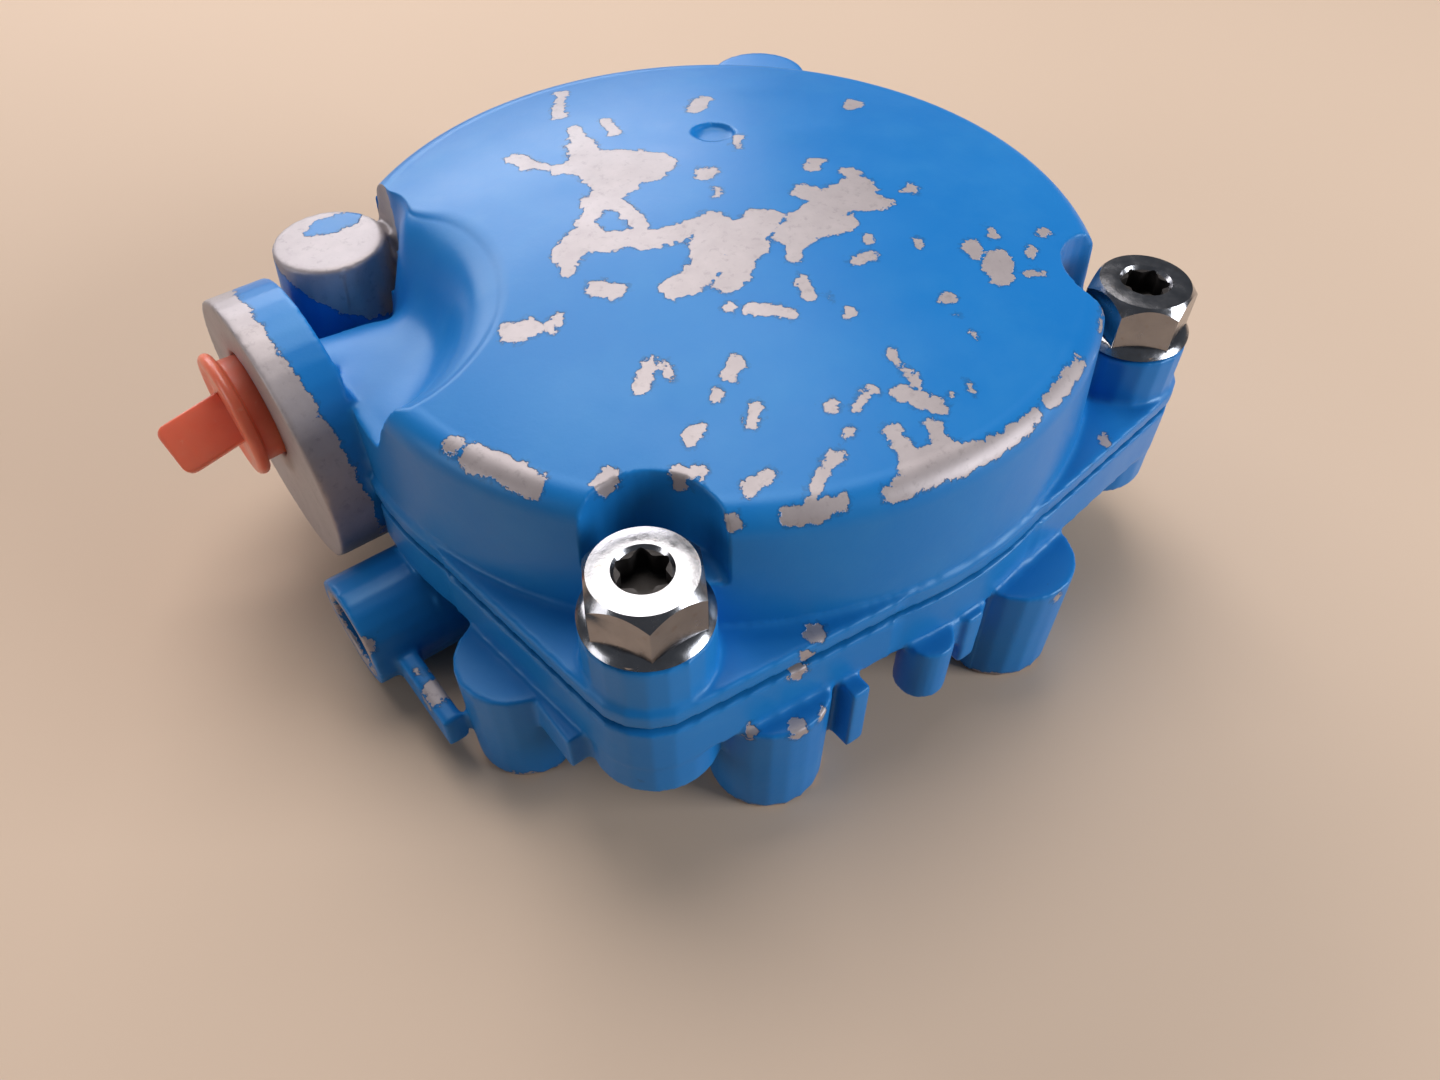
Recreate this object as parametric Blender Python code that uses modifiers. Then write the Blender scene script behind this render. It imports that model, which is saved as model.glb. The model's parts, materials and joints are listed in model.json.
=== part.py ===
"""Rotary pneumatic actuator: a single vane on a shaft, inside a two-part die-cast housing.

The frame has +Z up along the output shaft. Its origin is the centre of the shaft's flat drive
end, which is level with the feet. The air ports point along -X. All sizes below are in
millimetres, and mm() turns them into metres.
"""

from math import cos, pi, radians, sin, sqrt

import bpy
import bmesh
from mathutils import Vector
from mathutils.geometry import convex_hull_2d

NAME = "rotary_pneumatic_actuator"
MM = 0.001
GAP = 0.3  # clearance between pieces that touch

# Housing
DOME_R = 54.0  # dome wall at the shoulder
DOME_FOOT_R = 54.8  # dome wall at the flange, with its casting draft
APEX_Z = 52.0
SHOULDER_Z = 47.4
SHOULDER_FILLET = 3.8
FLANGE_R = 55.5
CORNER = 42.0  # screw axes at (+-CORNER, +-CORNER)
CORNER_R = 8.8
COVER_BOTTOM_Z = 26.9
COVER_FLANGE_TOP_Z = 29.6
GASKET_Z = (26.0, 26.6)
BASE_TOP_Z = 25.7
BASE_FLANGE_BOTTOM_Z = 18.0
BASE_BOTTOM_Z = 11.0
BASE_WALL_R = 49.0
HUB_R = 20.0
HUB_BOTTOM_Z = 8.0
CHAMBER_R = 37.5
CHAMBER_Z = (19.0, 40.0)

# Screws
SEAT_Z = 37.0
BOSS_R = 8.0
POCKET_R = 9.0
POCKET_SHIFT = 3.0  # towards the dome's axis
BLIND_POCKET_R = 10.2
BLIND_POCKET_Z = 40.5
CORNER_BOSS_BOTTOM_Z = 12.0
SHANK_R = 4.0
SHANK_END_Z = 14.6
CLEAR_R = SHANK_R + GAP
HEX_FLATS = 13.0
HEAD_FLANGE_R = 7.9
HEAD_FLANGE_H = 1.5
HEAD_H = 8.0
BLIND_BOSS_R = (9.7, 8.2)  # at its foot and at its top
BLIND_BOSS_XY = (-41.2, 41.4)  # cast a little inside its screw axis
BLIND_BOSSES = ((*BLIND_BOSS_XY, 41.5), (-BLIND_BOSS_XY[0], BLIND_BOSS_XY[1], 42.7))  # x, y, top
OPEN_CORNERS = ((-CORNER, -CORNER), (CORNER, -CORNER))  # screwed from above
BLIND_CORNERS = ((-CORNER, CORNER), (CORNER, CORNER))  # screwed from below

# Ports, both along -X
PORT_Y = 24.5
PORT_Z = 26.5
PORT_FACE_X = -61.8
PORT_DISC_R = 20.0
PORT_DISC_T = 9.0
NECK_Y = 21.0
NECK_Z = 27.0
PORT_NECK_R = 11.5
PORT_NECK_END_X = -50.5
BORE_Y = 26.0  # the bore stands a little off the disc's middle
BORE_Z = 31.0
PORT_BORE_R = 7.9
PORT_BORE_END_X = -53.6
PASSAGE_START = (-55.0, 23.5, 31.0)
PASSAGE_END = (-31.5, 15.5, 31.5)
NOTCH_CENTRE = (-57.5, 19.0)  # the scoop that takes the crown down to the port's neck
NOTCH_Z = (38.5, 54.0)
NOTCH_R = (19.7, 28.7)
FOOTWELL = (-46.5, 33.0)  # the low ground before the blind boss
FOOTWELL_Z = (30.2, 54.0)
FOOTWELL_R = (12.4, 18.4)
PASSAGE_R = 2.8
LOW_PORT_Y = -1.0
LOW_PORT_Z = 9.3
LOW_PORT_FACE_X = -66.0
LOW_PORT_R = 8.4
LOW_PORT_BORE_R = 5.6
LOW_PORT_BORE_END_X = -52.0
RISER_X = -33.5
GALLERY_Z = 27.0

# Feet
FRONT_FEET = ((-28.5, -48.0, 8.2), (-52.0, -24.5, 7.8), (12.3, -52.3, 8.5))  # x, y, radius
BACK_FEET = ((24.0, 50.0, 8.2), (52.0, 24.5, 7.8), (-12.3, 52.3, 8.5))
FOOT_HOLE_R = 3.4
FOOT_HOLE_DEPTH = 12.0

# Shaft and vane
SHAFT_R = 8.0
SHAFT_TOP_Z = 46.0
DRIVE_FLATS = 13.0
DRIVE_TOP_Z = 7.4
ROTOR_HUB_R = 13.0
ROTOR_Z = (20.6, 38.4)
VANE_REST_AZIMUTH = 235.0
VANE_TRAVEL = 270.0
VANE_HALF_T = 4.5
VANE_TIP_R = 35.6
STOP_CLEARANCE = 0.8
BUMPER_PROUD = 1.5
BUSH_R = 10.7
SEAL_R = 13.0
WASHER_T = 1.0

# Transit plug in the upper port
PLUG_STANDS_OFF = 2.5
PLUG_DISC_T = 1.8
PLUG_DISC_R = 9.1
PLUG_TAB_TWIST = 40.0
PLUG_TAB_DROOP = 12.0


def mm(*values):
    return Vector(values) * MM


# ---- scene and materials -------------------------------------------------------------------


def clear_scene():
    for obj in list(bpy.data.objects):
        bpy.data.objects.remove(obj, do_unlink=True)


def new_collection(name, hidden=False):
    collection = bpy.data.collections.new(name)
    collection.hide_render = hidden
    bpy.context.scene.collection.children.link(collection)
    return collection


def material(name, color, roughness, metallic=0.0):
    made = bpy.data.materials.new(name)
    made.use_nodes = True
    shader = made.node_tree.nodes["Principled BSDF"]
    shader.inputs["Base Color"].default_value = (*color, 1.0)
    shader.inputs["Roughness"].default_value = roughness
    shader.inputs["Metallic"].default_value = metallic
    return made


clear_scene()
PARTS = new_collection(NAME)
CUTTERS = new_collection("cutters", hidden=True)
BOOLEANS = []
BLUE = material("blue_paint", (0.055, 0.27, 0.52), 0.42)
GASKET = material("gasket_fibre", (0.05, 0.05, 0.055), 0.9)
PLATED = material("plated_steel", (0.62, 0.6, 0.58), 0.25, 1.0)
STEEL = material("ground_steel", (0.55, 0.55, 0.56), 0.3, 1.0)
BARE = material("bare_aluminium", (0.7, 0.69, 0.68), 0.4, 1.0)
BRONZE = material("bronze", (0.6, 0.42, 0.2), 0.4, 1.0)
RUBBER = material("black_rubber", (0.03, 0.03, 0.032), 0.7)
ORANGE = material("orange_plastic", (0.95, 0.2, 0.07), 0.4)


# ---- shapes --------------------------------------------------------------------------------


def place(obj, name, collection):
    """Gives a new object its name and puts it in one collection only."""
    obj.name = name
    obj.data.name = name
    for old in list(obj.users_collection):
        old.objects.unlink(obj)
    collection.objects.link(obj)
    if collection is CUTTERS:
        obj.hide_render = True
        obj.display_type = "WIRE"
    return obj


def cylinder(name, start, end, radius, sides=24, end_radius=None, collection=None):
    """A cylinder, or a cone, from the point start to the point end, both in millimetres."""
    start, end = mm(*start), mm(*end)
    run = end - start
    bpy.ops.mesh.primitive_cone_add(
        vertices=sides,
        radius1=radius * MM,
        radius2=(radius if end_radius is None else end_radius) * MM,
        depth=run.length,
        location=(start + end) / 2,
        rotation=run.to_track_quat("Z", "Y").to_euler(),
    )
    return place(bpy.context.object, name, collection or CUTTERS)


def box(name, low, high, turn=0.0, collection=None):
    """A box between two corners in millimetres, turned about the Z axis by degrees."""
    low, high = mm(*low), mm(*high)
    bpy.ops.mesh.primitive_cube_add(size=1.0)
    obj = bpy.context.object
    for vertex in obj.data.vertices:
        for axis in range(3):
            middle = (low[axis] + high[axis]) / 2
            vertex.co[axis] = middle + vertex.co[axis] * (high[axis] - low[axis])
    obj.rotation_euler.z = radians(turn)
    return place(obj, name, collection or CUTTERS)


def turned(name, profile, steps=48, closed=False, collection=None):
    """A solid of revolution about Z. The profile is (radius, z) points in millimetres."""
    mesh = bpy.data.meshes.new(name)
    points = [mm(r, 0.0, z) for r, z in profile]
    edges = [(i, i + 1) for i in range(len(points) - 1)]
    if closed:
        edges.append((len(points) - 1, 0))
    mesh.from_pydata(points, edges, [])
    obj = bpy.data.objects.new(name, mesh)
    bpy.context.scene.collection.objects.link(obj)
    screw = obj.modifiers.new("turn", "SCREW")
    screw.angle = 2 * pi
    screw.steps = steps
    screw.render_steps = steps
    screw.use_merge_vertices = True
    screw.merge_threshold = 0.00001
    screw.use_normal_calculate = not closed
    return place(obj, name, collection or CUTTERS)


def ring(name, inner, outer, low, high, steps=32, collection=None):
    profile = [(outer, high), (outer, low), (inner, low), (inner, high)]
    return turned(name, profile, steps, closed=True, collection=collection)


def plate(name, outline, low, high, collection=None):
    """A flat outline of (x, y) points in millimetres, extruded between two heights."""
    curve = bpy.data.curves.new(name + "_outline", "CURVE")
    curve.dimensions = "2D"
    curve.fill_mode = "BOTH"
    curve.extrude = (high - low) / 2 * MM
    spline = curve.splines.new("POLY")
    spline.points.add(len(outline) - 1)
    for point, (x, y) in zip(spline.points, outline):
        point.co = (x * MM, y * MM, 0.0, 1.0)
    spline.use_cyclic_u = True
    guide = bpy.data.objects.new(name + "_outline", curve)
    bpy.context.scene.collection.objects.link(guide)
    guide.location.z = (low + high) / 2 * MM
    bpy.context.view_layer.update()
    graph = bpy.context.evaluated_depsgraph_get()
    mesh = bpy.data.meshes.new_from_object(guide.evaluated_get(graph))
    work = bmesh.new()
    work.from_mesh(mesh)
    bmesh.ops.remove_doubles(work, verts=work.verts, dist=1e-7)
    bmesh.ops.recalc_face_normals(work, faces=work.faces)
    work.to_mesh(mesh)
    work.free()
    obj = bpy.data.objects.new(name, mesh)
    bpy.context.scene.collection.objects.link(obj)
    obj.matrix_world = guide.matrix_world
    bpy.data.objects.remove(guide)
    return place(obj, name, collection or CUTTERS)


def boolean(obj, other, operation):
    """Notes a Boolean. They are added last, so that Blender works each one out only once."""
    BOOLEANS.append((obj, other, operation))


def add_booleans():
    """Adds the noted Booleans. A cutter gets its piece's parent, so that it turns with the piece."""
    for obj, other, operation in BOOLEANS:
        modifier = obj.modifiers.new(other.name, "BOOLEAN")
        modifier.operation = operation
        modifier.solver = "EXACT"
        modifier.object = other
        other.parent = obj.parent


def join(obj, *others):
    for other in others:
        boolean(obj, other, "UNION")


def cut(obj, *others):
    for other in others:
        boolean(obj, other, "DIFFERENCE")


def finish(obj, surface, parent=None):
    """Gives a part its material and smooth shading, and hangs it on its moving empty."""
    obj.data.materials.clear()
    obj.data.materials.append(surface)
    if obj.data.polygons:
        obj.data.shade_smooth()
        obj.data.set_sharp_from_angle(angle=radians(35))
    if parent:
        obj.parent = parent
    return obj


# ---- outlines ------------------------------------------------------------------------------


def circle(x, y, radius, sides):
    return [
        (x + radius * cos(2 * pi * i / sides), y + radius * sin(2 * pi * i / sides))
        for i in range(sides)
    ]


def flange_outline(inset=0.0):
    """The hull of the round flange and its four corner bosses."""
    points = circle(0, 0, FLANGE_R - inset, 64)
    for x in (-CORNER, CORNER):
        for y in (-CORNER, CORNER):
            points += circle(x, y, CORNER_R - inset, 20)
    return [points[i] for i in convex_hull_2d([Vector(p) for p in points])]


def dome_profile():
    """Apex to foot: a shallow spherical crown, a round shoulder and a drafted wall."""
    edge_r = DOME_R - SHOULDER_FILLET
    rise = APEX_Z - SHOULDER_Z
    crown_r = (edge_r**2 + rise**2) / (2 * rise)
    points = []
    for i in range(6):
        r = edge_r * i / 5
        points.append((r, APEX_Z - crown_r + sqrt(crown_r**2 - r**2)))
    for i in range(1, 5):
        turn = radians(90 - 90 * i / 4)
        points.append(
            (
                edge_r + SHOULDER_FILLET * cos(turn),
                SHOULDER_Z - SHOULDER_FILLET + SHOULDER_FILLET * sin(turn),
            )
        )
    points.append((DOME_FOOT_R, COVER_FLANGE_TOP_Z))
    points.append((DOME_FOOT_R, COVER_BOTTOM_Z - 3))
    points.append((0.0, COVER_BOTTOM_Z - 3))
    return points


def lobed_outline(x, y, root, tip):
    """A six-lobed drive recess."""
    points = []
    for i in range(24):
        turn = 2 * pi * i / 24
        radius = (root + tip) / 2 + (tip - root) / 2 * cos(6 * turn)
        points.append((x + radius * cos(turn), y + radius * sin(turn)))
    return points


def arms(azimuth, along, across):
    """The (x, y) of a point given along an azimuth and across it, to its left."""
    turn = radians(azimuth)
    return (
        along * cos(turn) - across * sin(turn),
        along * sin(turn) + across * cos(turn),
    )


# ---- upper housing -------------------------------------------------------------------------


def upper_housing():
    cover = turned("upper_housing", dome_profile(), steps=56, collection=PARTS)
    low = COVER_BOTTOM_Z - 4
    join(cover, plate("cover_flange", flange_outline(), low, COVER_FLANGE_TOP_Z))
    for i, (x, y) in enumerate(OPEN_CORNERS):
        join(cover, cylinder(f"cover_boss_{i}", (x, y, low - 1), (x, y, SEAT_Z), BOSS_R, 20))
    blind = ((*BLIND_BOSS_XY, BLIND_POCKET_Z), (*BLIND_BOSS_XY, 60), BLIND_POCKET_R, 28)
    cut(cover, cylinder("blind_pocket", *blind))
    notch = ((*NOTCH_CENTRE, NOTCH_Z[0]), (*NOTCH_CENTRE, NOTCH_Z[1]), NOTCH_R[0], 36, NOTCH_R[1])
    cut(cover, cylinder("port_notch", *notch))
    well = ((*FOOTWELL, FOOTWELL_Z[0]), (*FOOTWELL, FOOTWELL_Z[1]), FOOTWELL_R[0], 32, FOOTWELL_R[1])
    cut(cover, cylinder("footwell", *well))
    foot_r, top_r = BLIND_BOSS_R
    for i, (x, y, top) in enumerate(BLIND_BOSSES):
        boss = cylinder(f"blind_boss_{i}", (x, y, low - 1), (x, y, top), foot_r, 24, top_r)
        join(cover, boss)
    neck_start = (PORT_NECK_END_X - 0.5, NECK_Y, NECK_Z)
    join(cover, cylinder("port_root", neck_start, (-40, NECK_Y, NECK_Z), PORT_NECK_R - 0.1, 28))
    cut(cover, box("parting_plane", (-90, -90, 0), (90, 90, COVER_BOTTOM_Z)))
    neck_end = (PORT_NECK_END_X, NECK_Y, NECK_Z)
    disc_end = (PORT_FACE_X + PORT_DISC_T, PORT_Y, PORT_Z)
    face = (PORT_FACE_X, PORT_Y, PORT_Z)
    stub = (PORT_FACE_X + 2, NECK_Y, NECK_Z)
    join(cover, cylinder("port_neck", stub, neck_end, PORT_NECK_R, 28))
    join(cover, cylinder("port_disc", face, disc_end, PORT_DISC_R, 44))
    for i, (x, y) in enumerate(OPEN_CORNERS):
        inward = 1 - POCKET_SHIFT / CORNER / sqrt(2)
        middle = (x * inward, y * inward)
        cut(cover, cylinder(f"pocket_{i}", (*middle, SEAT_Z), (*middle, 60), POCKET_R, 28))
        cut(cover, cylinder(f"screw_way_{i}", (x, y, 20), (x, y, 45), CLEAR_R, 16))
    for i, (x, y) in enumerate(BLIND_CORNERS):
        cut(cover, cylinder(f"blind_thread_{i}", (x, y, 20), (x, y, 38.6), CLEAR_R, 16))
    cut(cover, cylinder("chamber_top", (0, 0, 15), (0, 0, CHAMBER_Z[1]), CHAMBER_R, 48))
    cut(cover, cylinder("upper_bush_seat", (0, 0, 30), (0, 0, SHAFT_TOP_Z + 0.9), BUSH_R + GAP, 32))
    bore_end = (PORT_BORE_END_X, BORE_Y, BORE_Z)
    cut(cover, cylinder("port_bore", (PORT_FACE_X - 5, BORE_Y, BORE_Z), bore_end, PORT_BORE_R, 28))
    cut(cover, cylinder("port_passage", PASSAGE_START, PASSAGE_END, PASSAGE_R, 16))
    for i, (x, y) in enumerate(dowel_places()):
        cut(cover, cylinder(f"cover_dowel_{i}", (x, y, 20), (x, y, 33.3), 2.3, 16))
    cut(cover, cylinder("crown_dimple", (12.8, 17.5, APEX_Z - 1.9), (12.8, 17.5, 60), 3.2, 20))
    return finish(cover, BLUE)


def dowel_places():
    return (arms(97, 48.6, 0), arms(-7, 48.6, 0))


# ---- lower housing -------------------------------------------------------------------------


def base_profile():
    return [
        (0.0, BASE_TOP_Z),
        (BASE_WALL_R + 1, BASE_TOP_Z),
        (BASE_WALL_R, BASE_BOTTOM_Z + 1),
        (BASE_WALL_R - 1, BASE_BOTTOM_Z),
        (HUB_R + 2, BASE_BOTTOM_Z),
        (HUB_R, HUB_BOTTOM_Z + 0.8),
        (HUB_R - 0.8, HUB_BOTTOM_Z),
        (0.0, HUB_BOTTOM_Z),
    ]


def all_feet():
    return [*FRONT_FEET, *BACK_FEET]


def lower_housing():
    base = turned("lower_housing", base_profile(), steps=48, collection=PARTS)
    low, high = BASE_FLANGE_BOTTOM_Z, BASE_TOP_Z
    join(base, plate("base_flange", flange_outline(), low, high))
    for i, (x, y) in enumerate(corners()):
        start = (x, y, CORNER_BOSS_BOTTOM_Z)
        join(base, cylinder(f"corner_boss_{i}", start, (x, y, high - 1), CORNER_R - 0.1, 20))
    for i, (x, y, r) in enumerate(all_feet()):
        join(base, cylinder(f"foot_{i}", (x, y, 0), (x, y, low + 0.6), r - 0.3, 20, r))
    face = (LOW_PORT_FACE_X, LOW_PORT_Y, LOW_PORT_Z)
    inner = (RISER_X + 6, LOW_PORT_Y, LOW_PORT_Z)
    join(base, cylinder("low_port", face, inner, LOW_PORT_R, 24))
    join(base, *small_ribs())
    cut(base, cylinder("chamber_floor", (0, 0, CHAMBER_Z[0]), (0, 0, 40), CHAMBER_R, 48))
    cut(base, cylinder("lower_bush_seat", (0, 0, 13), (0, 0, 30), BUSH_R + GAP, 32))
    cut(base, cylinder("seal_seat", (0, 0, 0), (0, 0, 14), SEAL_R + GAP, 32))
    cut(base, ring("ring_groove", 5, SEAL_R + 1.3, 9.0, 10.4))
    cut(base, *port_relief("base"))
    for i, (x, y) in enumerate(corners()):
        floor = 0 if (x, y) in BLIND_CORNERS else SHANK_END_Z - GAP
        cut(base, cylinder(f"base_screw_way_{i}", (x, y, floor), (x, y, 30), CLEAR_R, 16))
    for i, (x, y, _) in enumerate(all_feet()):
        cut(base, cylinder(f"foot_hole_{i}", (x, y, -3), (x, y, FOOT_HOLE_DEPTH), FOOT_HOLE_R, 12))
    bore_end = (LOW_PORT_BORE_END_X, LOW_PORT_Y, LOW_PORT_Z)
    bore_start = (LOW_PORT_FACE_X - 5, LOW_PORT_Y, LOW_PORT_Z)
    cut(base, cylinder("low_port_bore", bore_start, bore_end, LOW_PORT_BORE_R, 20))
    way = ((LOW_PORT_BORE_END_X - 2, LOW_PORT_Y, LOW_PORT_Z), (RISER_X, LOW_PORT_Y, LOW_PORT_Z))
    cut(base, cylinder("low_port_way", *way, 2.5, 16))
    riser = ((RISER_X, LOW_PORT_Y, LOW_PORT_Z), (RISER_X, LOW_PORT_Y, 30))
    cut(base, cylinder("low_port_riser", *riser, 2.4, 16))
    for i, (x, y) in enumerate(shoe_screw_places()):
        cut(base, cylinder(f"shoe_screw_way_{i}", (x, y, 0), (x, y, 30), 2.3, 16))
        cut(base, cylinder(f"shoe_screw_sink_{i}", (x, y, 0), (x, y, 15.4), 3.9, 20))
    for i, (x, y) in enumerate(dowel_places()):
        cut(base, cylinder(f"base_dowel_{i}", (x, y, 20.0), (x, y, 40), 2.3, 16))
    return finish(base, BLUE)


def port_relief(prefix):
    """The room that the base and the gasket leave for the port's disc and neck."""
    disc_end = (PORT_FACE_X + PORT_DISC_T + 0.7, PORT_Y, PORT_Z)
    neck_end = (PORT_NECK_END_X + 0.4, NECK_Y, NECK_Z)
    disc_way = ((-75, PORT_Y, PORT_Z), disc_end, PORT_DISC_R + 1.0, 32)
    neck_way = ((-75, NECK_Y, NECK_Z), neck_end, PORT_NECK_R + 0.5, 28)
    disc = cylinder(f"{prefix}_disc_relief", *disc_way)
    neck = cylinder(f"{prefix}_neck_relief", *neck_way)
    return [disc, neck]


def small_ribs():
    """The strap to the lower port, the knock-out boss and the stiffening ribs of the underside."""
    top = BASE_FLANGE_BOTTOM_Z + 0.5
    strap = box("strap", (-63.0, -23.0, 4.5), (-60.2, -4.0, 10.0))
    tab = box("foot_tab", (-53.5, -40.0, 12.5), (-50.0, -29.0, top))
    rib = box("foot_rib", (-21.5, -56.5, 6.5), (-18.5, -40.0, top))
    knob = cylinder("knob", (-7.2, -55, 8.5), (-7.2, -55, top), 3.6, 20)
    web = box("knob_web", (-1.6, -57.0, 9.0), (1.6, -44.0, top))
    tie = box("knob_tie", (-7.0, -56.0, 13.0), (3.0, -53.0, top))
    spokes = []
    for i, azimuth in enumerate((20, 80, 140, 260, 320)):
        spoke = box(f"spoke_{i}", (HUB_R - 2, -1.6, 9.0), (BASE_WALL_R - 2, 1.6, 12.0), azimuth)
        spokes.append(spoke)
    return [strap, tab, rib, knob, web, tie, *spokes]


def corners():
    return [(x, y) for x in (-CORNER, CORNER) for y in (-CORNER, CORNER)]


# ---- pieces of the joint between the housings ----------------------------------------------


def housing_gasket():
    low, high = GASKET_Z
    gasket = plate("housing_gasket", flange_outline(0.9), low, high, collection=PARTS)
    cut(gasket, cylinder("gasket_middle", (0, 0, 20), (0, 0, 33), CHAMBER_R + 0.6, 48))
    for i, (x, y) in enumerate(corners()):
        cut(gasket, cylinder(f"gasket_screw_{i}", (x, y, 20), (x, y, 33), CLEAR_R + 0.3, 20))
    for i, (x, y) in enumerate(dowel_places()):
        cut(gasket, cylinder(f"gasket_dowel_{i}", (x, y, 20), (x, y, 33), 2.5, 16))
    cut(gasket, *port_relief("gasket"))
    return finish(gasket, GASKET)


def housing_screw(name, x, y, seat, end, up):
    """An M8 screw with a flanged hexagon head and a six-lobed recess. up is 1 or -1."""
    start = (x, y, seat + up * GAP)
    skirt = (x, y, seat + up * (GAP + HEAD_FLANGE_H))
    screw = cylinder(name, start, skirt, HEAD_FLANGE_R, 32, HEAD_FLANGE_R - 0.7, PARTS)
    top = (x, y, seat + up * (GAP + HEAD_H))
    corner_r = HEX_FLATS / 2 / cos(pi / 6)
    head = cylinder(f"{name}_hex", (x, y, seat + up * 0.8), top, corner_r, 6)
    crown = cylinder(f"{name}_crown", (x, y, top[2] - up * 40), (x, y, top[2] + up * 0.01), 28.5, 32, 6.1)
    boolean(head, crown, "INTERSECT")
    join(screw, head)
    join(screw, cylinder(f"{name}_shank", (x, y, seat + up * 1.2), (x, y, end), SHANK_R, 20))
    low, high = sorted((top[2] - up * 3.4, top[2] + up * 2.0))
    cut(screw, plate(f"{name}_recess", lobed_outline(x, y, 2.45, 3.3), low, high))
    return finish(screw, PLATED)


def housing_screws():
    housing_screw("cover_screw_front", -CORNER, -CORNER, SEAT_Z, SHANK_END_Z, 1)
    housing_screw("cover_screw_right", CORNER, -CORNER, SEAT_Z, SHANK_END_Z, 1)
    housing_screw("corner_screw_left", -CORNER, CORNER, CORNER_BOSS_BOTTOM_Z, 38.0, -1)
    housing_screw("corner_screw_back", CORNER, CORNER, CORNER_BOSS_BOTTOM_Z, 38.0, -1)


def dowel_pins():
    for i, (x, y) in enumerate(dowel_places()):
        pin = cylinder(f"dowel_pin_{i + 1}", (x, y, 20.3), (x, y, 33.0), 2.0, 16, collection=PARTS)
        finish(pin, STEEL)


# ---- stator shoe ---------------------------------------------------------------------------

# The vane stands at these two azimuths at its stops, and the shoe fills what lies between.
END_AZIMUTH = VANE_REST_AZIMUTH + VANE_TRAVEL - 360.0
SHOE_OFFSET = VANE_HALF_T + BUMPER_PROUD + STOP_CLEARANCE


def shoe_point(from_end, from_rest):
    """The (x, y) of a point by its distances along the two stop azimuths."""
    x1, y1 = arms(END_AZIMUTH, from_end, 0)
    x2, y2 = arms(VANE_REST_AZIMUTH, from_rest, 0)
    return (x1 + x2, y1 + y2)


def shoe_screw_places():
    return (shoe_point(25, 12), shoe_point(13.5, 28.5))


def stator_shoe():
    low, high = CHAMBER_Z[0] + GAP, CHAMBER_Z[1] - GAP
    shoe = cylinder("stator_shoe", (0, 0, low), (0, 0, high), CHAMBER_R - GAP, 48, collection=PARTS)
    for name, azimuth, other in (
        ("shoe_end_side", END_AZIMUTH, VANE_REST_AZIMUTH),
        ("shoe_rest_side", VANE_REST_AZIMUTH, END_AZIMUTH),
    ):
        side = box(name, (-60, -60, 0), (SHOE_OFFSET, 60, 60), azimuth)
        cut(shoe, side)
    cut(shoe, cylinder("shoe_bore", (0, 0, 0), (0, 0, 60), ROTOR_HUB_R + 0.6, 40))
    middle = (END_AZIMUTH + VANE_REST_AZIMUTH) / 2
    cut(shoe, box("shoe_seal_slot", (10, -1.9, 0), (18.0, 1.9, 60), middle))
    riser = ((RISER_X, LOW_PORT_Y, 0), (RISER_X, LOW_PORT_Y, GALLERY_Z))
    cut(shoe, cylinder("shoe_riser", *riser, 2.4, 16))
    turn = radians(END_AZIMUTH)
    reach = RISER_X * cos(turn) + LOW_PORT_Y * sin(turn)
    mouth = (RISER_X - reach * cos(turn), LOW_PORT_Y - reach * sin(turn), GALLERY_Z - 1)
    cut(shoe, cylinder("shoe_gallery", (RISER_X, LOW_PORT_Y, GALLERY_Z - 1), mouth, 2.2, 16))
    for i, (x, y) in enumerate(shoe_screw_places()):
        cut(shoe, cylinder(f"shoe_thread_{i}", (x, y, 0), (x, y, 30.3), 2.3, 16))
    for i, azimuth in enumerate((END_AZIMUTH, VANE_REST_AZIMUTH)):
        start, end = bumper_line(i, SHOE_OFFSET - 3, SHOE_OFFSET + 4.4)
        cut(shoe, cylinder(f"bumper_seat_{i}", start, end, 2.1, 14))
    return finish(shoe, BARE)


def bumper_line(index, near, far):
    """Two points across the shoe's face: index 0 is the end stop, 1 the rest stop."""
    along, height = 30.5, 34.0
    if index == 0:
        points = [shoe_point(along, near), shoe_point(along, far)]
    else:
        points = [shoe_point(near, along), shoe_point(far, along)]
    return [(x, y, height) for x, y in points]


def shoe_pieces():
    middle = (END_AZIMUTH + VANE_REST_AZIMUTH) / 2
    low, high = CHAMBER_Z[0] + GAP, CHAMBER_Z[1] - GAP
    seal = box("shoe_seal", (ROTOR_HUB_R + 0.3, -1.6, low), (17.6, 1.6, high), middle, PARTS)
    finish(seal, RUBBER)
    for i, name in enumerate(("end_stop_bumper", "rest_stop_bumper")):
        pad = (*bumper_line(i, SHOE_OFFSET - BUMPER_PROUD, SHOE_OFFSET - GAP), 3.6, 20)
        bumper = cylinder(name, *pad, collection=PARTS)
        stem = (*bumper_line(i, SHOE_OFFSET - 0.8, SHOE_OFFSET + 4.0), 1.8, 14)
        join(bumper, cylinder(f"{name}_stem", *stem))
        finish(bumper, RUBBER)
    for i, (x, y) in enumerate(shoe_screw_places()):
        head = ((x, y, 11.3), (x, y, 15.1), 3.5, 20)
        screw = cylinder(f"shoe_screw_{i + 1}", *head, collection=PARTS)
        join(screw, cylinder(f"shoe_screw_shank_{i}", (x, y, 14.5), (x, y, 30.0), 2.0, 14))
        key = cylinder(f"shoe_screw_key_{i}", (x, y, 10), (x, y, 13.2), 1.75, 6)
        cut(screw, key)
        finish(screw, STEEL)


# ---- bearings and seals of the shaft -------------------------------------------------------


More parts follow.
